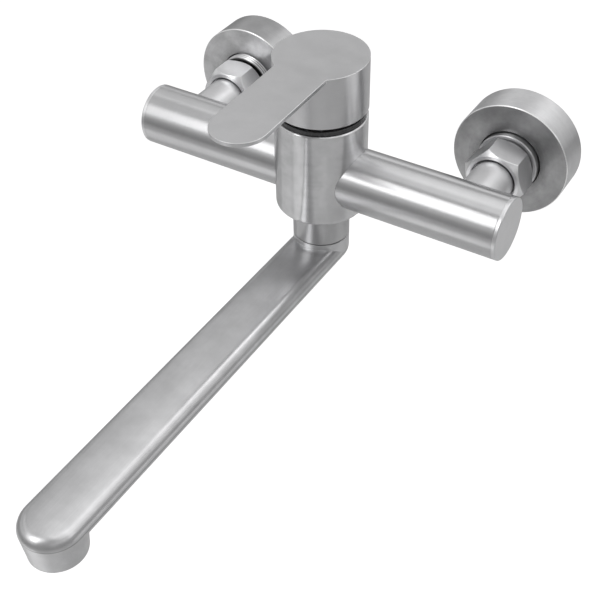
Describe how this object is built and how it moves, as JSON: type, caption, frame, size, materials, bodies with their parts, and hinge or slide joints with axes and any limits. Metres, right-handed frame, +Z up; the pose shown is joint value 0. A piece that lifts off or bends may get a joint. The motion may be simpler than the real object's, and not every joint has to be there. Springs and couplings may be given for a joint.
{
  "type": "wall-mounted kitchen mixer tap",
  "caption": "Wall-mounted single-lever mixer tap with a barrel body, level side arms, cup escutcheons and a long flat swivelling spout.",
  "frame": {"origin": "on the wall's face, midway between the two inlets, at the height of the arms' axis", "axes": "+Y into the wall, +Z up, +X to the right as seen from the front"},
  "size_m": [0.2084, 0.3023, 0.1209],
  "materials": {
    "brushed_steel": "satin brushed",
    "nut_steel": "machined",
    "connector_steel": "turned, threaded",
    "turned_steel": "turned",
    "brass": "turned",
    "plated_brass": "dull plated",
    "rubber": "matt",
    "white_plastic": "moulded",
    "dark_plastic": "moulded",
    "ceramic": "lapped"
  },
  "bodies": {
    "tap_body": {"valve_body": "brushed_steel", "left_arm": "brushed_steel", "right_arm": "brushed_steel", "left_end_cap": "brushed_steel", "right_end_cap": "brushed_steel", "left_inlet_tail": "brushed_steel", "right_inlet_tail": "brushed_steel", "left_union_nut": "nut_steel", "right_union_nut": "nut_steel", "left_inlet_washer": "rubber", "right_inlet_washer": "rubber", "left_connector": "connector_steel", "right_connector": "connector_steel", "left_escutcheon_seal": "rubber", "right_escutcheon_seal": "rubber", "left_escutcheon": "brushed_steel", "right_escutcheon": "brushed_steel", "swivel_neck": "brushed_steel", "spout_set_screw": "turned_steel", "cartridge_base": "white_plastic", "port_seals": "rubber", "fixed_ceramic_disc": "ceramic", "cartridge_housing": "white_plastic", "cartridge_nut": "plated_brass", "trim_ring": "dark_plastic"},
    "spout_arm": {"spout": "brushed_steel", "spout_spigot": "turned_steel", "spigot_o_rings": "rubber", "slip_rings": "white_plastic", "thrust_washer": "dark_plastic", "aerator_gasket": "rubber", "aerator_housing": "turned_steel", "aerator_screen": "turned_steel", "aerator_insert": "white_plastic"},
    "turret": {"cartridge_turret": "dark_plastic", "stem_pin": "turned_steel"},
    "slider": {"moving_ceramic_disc": "ceramic", "disc_carrier": "dark_plastic"},
    "handle": {"lever_handle": "brushed_steel", "lever_stem": "brass", "handle_set_screw": "turned_steel", "handle_screw_plug": "dark_plastic"}
  },
  "joints": [
    {"name": "spout_swivel", "type": "hinge", "parent": "tap_body", "child": "spout_arm", "pos_m": [0, -0.068, -0.037], "axis": [0, 0, 1], "range_deg": [-100, 100]},
    {"name": "handle_turn", "type": "hinge", "parent": "tap_body", "child": "turret", "pos_m": [0, -0.068, 0.021], "axis": [0, 0, 1], "range_deg": [-50, 50]},
    {"name": "handle_lift", "type": "hinge", "parent": "turret", "child": "handle", "pos_m": [0, -0.068, 0.021], "axis": [-1, 0, 0], "range_deg": [0, 25]},
    {"name": "disc_slide", "type": "slide", "parent": "turret", "child": "slider", "axis": [0, -1, 0], "range_m": [0, 0.0035]}
  ],
  "couplings": [
    {"joint": "disc_slide", "follows": "handle_lift", "m_per_rad": 0.0077}
  ]
}
